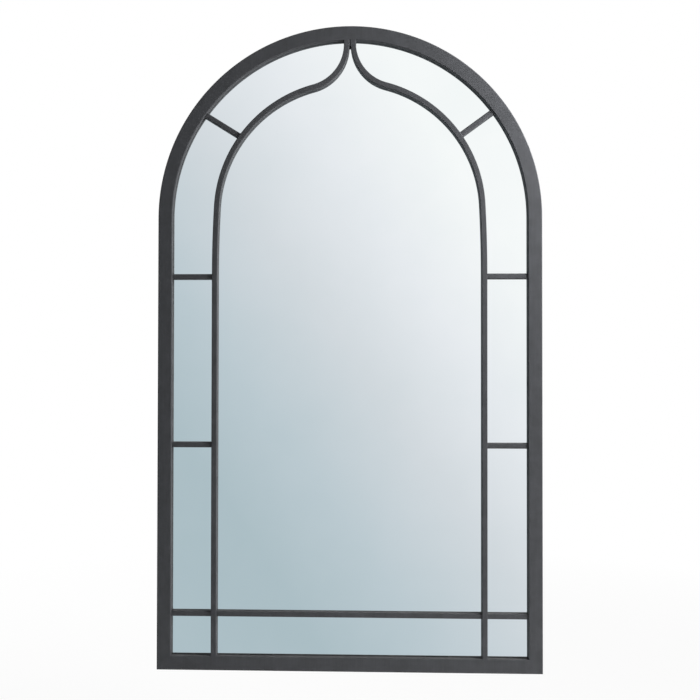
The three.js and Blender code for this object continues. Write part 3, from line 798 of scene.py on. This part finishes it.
def pear_outline():
    """Points round a turn button, each with the point of its middle line that it stands off."""
    steps = 18
    lean = math.asin((BUTTON_PIVOT_RADIUS - BUTTON_TIP_RADIUS) / BUTTON_REACH)
    flank = 10
    outline = []
    pivot = Vector((0, 0, 0))
    tip = Vector((0, 0, -BUTTON_REACH))
    arcs = (
        (pivot, BUTTON_PIVOT_RADIUS, -lean, math.pi + lean, tip, BUTTON_TIP_RADIUS),
        (tip, BUTTON_TIP_RADIUS, math.pi + lean, 2 * math.pi - lean, pivot, BUTTON_PIVOT_RADIUS),
    )
    for centre, radius, start, stop, next_centre, next_radius in arcs:
        for i in range(steps + 1):
            angle = start + (stop - start) * i / steps
            way = Vector((math.cos(angle), 0, math.sin(angle)))
            outline.append((centre, centre + radius * way))
        for i in range(1, flank):
            t = i / flank
            spine = centre.lerp(next_centre, t)
            outline.append((spine, spine + (radius + (next_radius - radius) * t) * way))
    return outline


def pressed_height(point):
    """How far a turn button's sheet is pressed up: a boss at the screw, a rib, and a lifted tip."""
    from_screw = math.hypot(point.x, point.z)
    along = -point.z
    boss = 0.35 * MM * smooth_step(5.6 * MM, 4.6 * MM, from_screw)
    off_rib = math.hypot(point.x, max(0, 10 * MM - along, along - 18 * MM))
    rib = 0.55 * MM * smooth_step(2.2 * MM, 0.6 * MM, off_rib)
    lift = 1.1 * MM * smooth_step(19 * MM, 27.5 * MM, along)
    return boss + rib + lift


def smooth_step(start, stop, value):
    """Rises evenly from 0 at start to 1 at stop, with no kink at either."""
    t = min(1, max(0, (value - start) / (stop - start)))
    return t * t * (3 - 2 * t)


def button_sheet(bm, matrix):
    """A pear-shaped pressing with softly rounded edges."""
    outline = pear_outline()
    edge = BUTTON_EDGE
    shares = [0.06, 0.2, 0.34, 0.46, 0.56, 0.64, 0.72, 0.8, 0.88, 0.94]
    rings = []

    def add_ring(share, inset, height):
        ring = []
        for spine, rim in outline:
            reach = rim - spine
            point = spine + reach * share - reach.normalized() * inset
            ring.append(bm.verts.new(matrix @ (point + Vector((0, height + pressed_height(point), 0)))))
        rings.append(ring)

    for share in shares:
        add_ring(share, 0, 0)
    for turn in (0, 30, 60, 90):
        angle = math.radians(turn)
        add_ring(1, edge * (1 - math.sin(angle)), edge * (1 - math.cos(angle)))
    for turn in (90, 60, 30, 0):
        angle = math.radians(turn)
        add_ring(1, edge * (1 - math.sin(angle)), BUTTON_THICKNESS - edge * (1 - math.cos(angle)))
    for share in reversed(shares):
        add_ring(share, 0, BUTTON_THICKNESS)
    bridge(bm, rings)


def turn_buttons():
    """Each button stands on its screw and reaches in from the frame over the board."""
    seat = box("turn_button_left_1")[0].y
    for node in sorted(node for node in frame["nodes"] if node.startswith("turn_button_")):
        at = middle(node.replace("turn_button", "button_screw"))
        if at.z > SPRING:
            outward = math.atan2(at.z - SPRING, at.x)
        elif "bottom" in node:
            outward = -math.pi / 2
        else:
            outward = 0 if at.x > 0 else math.pi
        matrix = Matrix.Translation((at.x, seat, at.z)) @ Matrix.Rotation(math.pi / 2 - outward, 4, "Y")
        bm = bmesh.new()
        button_sheet(bm, matrix)
        piece(f"{node}_pressing", bm, "zinc_steel", replaces=(node,), body=node)


# ---------------------------------------------------------------- hangers


def strap_path():
    """Points (y, z) of the strip's middle: up the frame, round the leg and down over itself."""
    inner = STRAP_THICKNESS / 2
    outer = 1.5 * STRAP_THICKNESS
    foot = STRAP_LOW.z - STRAP_HIGH.z + inner + CURL_RADIUS
    centre = inner + CURL_RADIUS
    drop = math.sqrt((CURL_RADIUS + CURL_RETURN) ** 2 - (outer + CURL_RETURN - centre) ** 2)
    leave = math.atan2(-drop, outer + CURL_RETURN - centre)
    points = [(inner, foot * (1 - i / 24)) for i in range(24)]
    for i in range(25):
        angle = math.pi + (leave - math.pi) * i / 24
        points.append((centre + CURL_RADIUS * math.cos(angle), CURL_RADIUS * math.sin(angle)))
    for i in range(1, 7):
        angle = leave + math.pi - leave * i / 6
        reach = CURL_RETURN * (1 + math.cos(angle))
        points.append((outer + reach, -drop + CURL_RETURN * math.sin(angle)))
    start = points[-1][1]
    points += [(outer, start + (foot - start) * (i / 20)) for i in range(1, 21)]
    return points


def strap_half_width(z, low, high):
    """Half the strip's width at a height, narrower where its corners are rounded."""
    half = (STRAP_HIGH.x - STRAP_LOW.x) / 2
    short = STRAP_CORNER - min(STRAP_CORNER, z - low, high - z)
    return half - STRAP_CORNER + math.sqrt(STRAP_CORNER ** 2 - short ** 2)


def hanger_strap(side, leg):
    """The folded strip, thickened to both sides of its middle, with its long edges eased."""
    path = strap_path()
    low = min(z for _, z in path)
    high = max(z for _, z in path) + STRAP_THICKNESS / 2
    ease = STRAP_EASE
    half = STRAP_THICKNESS / 2
    rings = []
    bm = bmesh.new()
    for i, (y, z) in enumerate(path):
        before = Vector(path[max(0, i - 1)])
        after = Vector(path[min(len(path) - 1, i + 1)])
        way = (after - before).normalized()
        normal = Vector((0, -way.y, way.x))
        width = strap_half_width(max(low, min(high, z)), low, high)
        ring = []
        for sign in (1, -1):
            for inset, rise in ((ease, half), (0, half - ease), (0, ease - half), (ease, -half)):
                offset = Vector((sign * (width - inset), 0, 0)) + sign * rise * normal
                ring.append(bm.verts.new(leg + Vector((0, y, z)) + offset))
        rings.append(ring)
    bridge(bm, rings)
    piece(f"hanger_strap_{side}_folded", bm, "zinc_steel", replaces=(f"hanger_strap_{side}",), crease=50)


def hanger_ring(side, leg):
    """A wire bent into a D, leaning on the frame, its cut ends inside the strap."""
    upright = RING_HEIGHT - RING_HALF_WIDTH - RING_CORNER
    foot = RING_HALF_WIDTH - RING_CORNER - RING_SPLIT / 2
    line = bent_line(
        RING_SPLIT / 2, 0, 0,
        foot, (RING_CORNER, math.pi / 2), upright, (RING_HALF_WIDTH, math.pi), upright,
        (RING_CORNER, math.pi / 2), foot,
    )
    bm = bmesh.new()
    sweep(bm, round_section(RING_WIRE_RADIUS, 20), line)
    rest = math.asin((leg.y - BACK - RING_WIRE_RADIUS - RING_REST_GAP) / RING_HEIGHT)
    bm.transform(Matrix.Translation(leg) @ Matrix.Rotation(rest, 4, "X"))
    piece(f"hanger_ring_{side}_wire", bm, "zinc_steel", replaces=(f"hanger_ring_{side}",),
          body=f"hanger_ring_{side}")


def hangers():
    """A strap and its ring on each stile, a little below the arch."""
    curl = STRAP_THICKNESS / 2 + CURL_RADIUS
    for side, sign in SIDES:
        leg = Vector((sign * ARCH_MIDDLE, BACK, STRAP_HIGH.z - curl - STRAP_THICKNESS / 2))
        hanger_strap(side, leg)
        hanger_ring(side, leg + Vector((0, curl + STRAP_THICKNESS / 2, 0)))


# ---------------------------------------------------------------- bumpers


def wall_bumpers():
    """Moulded rubber feet with a rolled rim, a dished top and a nib where they were poured."""
    radius = (BUMPER_HIGH.x - BUMPER_LOW.x) / 2
    height = BUMPER_HIGH.y - BUMPER_LOW.y
    profile = [
        (0.01 * MM, 0), (radius - 0.2 * MM, 0), (radius, 0.2 * MM), (radius, 0.8 * MM),
        (radius - BUMPER_WAIST, 1.1 * MM), (radius - BUMPER_WAIST, height - BUMPER_ROUND),
    ]
    for turn in range(15, 91, 15):
        angle = math.radians(turn)
        profile.append((
            radius - BUMPER_WAIST - BUMPER_ROUND * (1 - math.cos(angle)),
            height - BUMPER_ROUND * (1 - math.sin(angle)),
        ))
    profile += [
        (2.9 * MM, height - 0.1 * MM), (2.2 * MM, height - 0.45 * MM), (0.9 * MM, height - 0.6 * MM),
        (0.6 * MM, height - 0.35 * MM), (0.01 * MM, height - 0.3 * MM),
    ]
    for side, _ in SIDES:
        node = f"wall_bumper_{side}"
        at = middle(node)
        bm = bmesh.new()
        revolve(bm, profile, Matrix.Translation((at.x, BACK, at.z)), sides=56)
        piece(f"{node}_moulding", bm, "black_rubber", replaces=(node,))


# ---------------------------------------------------------------- studio


def soft_light(name, location, target, size, power, mirrored=False):
    """A lamp that the camera doesn't see, and that polished pieces show only if it is mirrored."""
    data = bpy.data.lights.new(name, "AREA")
    data.shape = "RECTANGLE"
    data.size, data.size_y = size
    data.energy = power
    lamp = bpy.data.objects.new(name, data)
    lamp.location = location
    lamp.rotation_euler = (Vector(target) - Vector(location)).to_track_quat("-Z", "Y").to_euler()
    lamp.visible_camera = False
    lamp.visible_glossy = mirrored
    bpy.context.scene.collection.objects.link(lamp)


def studio_world():
    """White to the camera, a soft grey fill to the object, and in the mirror a grey-blue room
    that brightens evenly towards the window light at the upper right. What the mirror throws on
    to other pieces counts as fill."""
    world = bpy.data.worlds.new("studio")
    bpy.context.scene.world = world
    world.use_nodes = True
    tree = world.node_tree
    tree.nodes.clear()
    way = tree.nodes.new("ShaderNodeTexCoord").outputs["Generated"]
    axes = put(tree, "ShaderNodeSeparateXYZ", {0: way}).outputs
    clouds = stretch(tree, noise_at(tree, way, 2.2, 3.0, 0.5), 0.3, 0.7, -0.02, 0.02)
    # The room grows brighter to the right and, a little less, upwards.
    rightward = calc(tree, "MULTIPLY_ADD", axes["X"], 1.93, 0.545)
    brightness = calc(tree, "ADD", calc(tree, "MULTIPLY_ADD", axes["Z"], 1.36, rightward), clouds)
    ramp = put(tree, "ShaderNodeValToRGB", {0: brightness})
    stops = ((0, "#b4c4cb"), (0.22, "#c3cfd6"), (0.5, "#dbdfe4"), (0.75, "#f0f1f5"), (1, "#ffffff"))
    elements = ramp.color_ramp.elements
    elements[0].position, elements[1].position = 0, 1
    elements[0].color, elements[1].color = linear(stops[0][1]), linear(stops[-1][1])
    for position, code in stops[1:-1]:
        elements.new(position).color = linear(code)
    floorward = stretch(tree, axes["Z"], -0.4, -0.6)
    walls_and_floor = mix_colours(tree, floorward, ramp.outputs[0], linear("#f4f4f4"))
    room = put(tree, "ShaderNodeBackground", {"Color": walls_and_floor, "Strength": 1.0}).outputs[0]
    fill = put(tree, "ShaderNodeBackground", {"Color": (1, 1, 1, 1), "Strength": 0.05}).outputs[0]
    white = put(tree, "ShaderNodeBackground", {"Color": (1, 1, 1, 1), "Strength": 1.0}).outputs[0]
    ray = tree.nodes.new("ShaderNodeLightPath").outputs
    mirrored = calc(tree, "MAXIMUM", ray["Is Glossy Ray"], ray["Is Transmission Ray"])
    looked_at = calc(tree, "SUBTRACT", mirrored, ray["Diffuse Depth"])
    lit = put(tree, "ShaderNodeMixShader", {0: looked_at, 1: fill, 2: room}).outputs[0]
    seen = put(tree, "ShaderNodeMixShader", {0: ray["Is Camera Ray"], 1: lit, 2: white}).outputs[0]
    put(tree, "ShaderNodeOutputWorld", {"Surface": seen})


def pale_floor():
    """A pale floor below the hung mirror. To the camera it goes over into the white room."""
    radius = 3.5
    bm = bmesh.new()
    bmesh.ops.create_circle(bm, cap_ends=True, radius=radius, segments=96,
                            matrix=Matrix.Translation((0, 0, -0.3)))
    mesh = bpy.data.meshes.new("floor")
    bm.to_mesh(mesh)
    bm.free()
    floor = bpy.data.objects.new("floor", mesh)
    bpy.context.scene.collection.objects.link(floor)
    floor.visible_glossy = False
    paint = Finish("pale_floor", 0.8)
    tree = paint.tree
    paint.colour(paint.use(MOTTLE, "Color", Patch=2.0, Fleck=60.0,
                           Dark=linear("#f0f0ef"), Light=linear("#f7f7f6")))
    paint.bump(paint.use(ORANGE_PEEL, "Height", Dimples=200.0, Grit=600.0), 0.0002)
    distance = put(tree, "ShaderNodeVectorMath", {0: paint.position}, operation="LENGTH").outputs["Value"]
    fade = stretch(tree, distance, 0.7, 2.6, 0.88, 1.0)
    to_camera = tree.nodes.new("ShaderNodeLightPath").outputs["Is Camera Ray"]
    glow = put(tree, "ShaderNodeEmission", {"Color": (1, 1, 1, 1), "Strength": 1.0}).outputs[0]
    seen = put(tree, "ShaderNodeMixShader",
               {0: calc(tree, "MULTIPLY", fade, to_camera), 1: paint.shader.outputs[0], 2: glow}).outputs[0]
    tree.links.new(seen, tree.nodes["Material Output"].inputs["Surface"])
    mesh.materials.append(paint.material)


def camera():
    """Stands where the photograph was taken, a little to the right of the middle."""
    data = bpy.data.cameras.new("camera")
    data.sensor_width = 36
    data.lens = 46.29
    made = bpy.data.objects.new("camera", data)
    made.location = (0.055, -1.6449, 0.5611)
    made.rotation_euler = [math.radians(angle) for angle in (90.761, -0.07, 1.8515)]
    bpy.context.scene.collection.objects.link(made)
    bpy.context.scene.camera = made


# ---------------------------------------------------------------- putting it together

camera()
studio_world()
soft_light("window_upper_right", (0.86, -0.24, 1.2), (0.2, 0, 0.9), (0.3, 0.6), 22.5)
soft_light("window_lower_right", (1.3, -0.6, 0.05), (0, 0, 0.2), (0.6, 0.6), 11.5)
soft_light("room_upper_left", (-0.9, -0.9, 1.6), (-0.1, 0, 1), (0.6, 0.6), 1.6)
soft_light("floor_bounce", (0, -0.6, -0.2), (0, 0, 0.1), (1, 0.2), 0.8)
soft_light("back_fill", (-1.3, 2.2, 1.7), (0, 0, 0.6), (1.6, 1.6), 45, mirrored=True)
pale_floor()

finish_cad_nodes()
frame_tubes()
mirror_sheet()
bar_welds(long_bars() + level_bars() + spoke_bars())
crown_weld()
back_welds()
screws()
turn_buttons()
hangers()
wall_bumpers()

bpy.context.scene.view_settings.view_transform = "Standard"
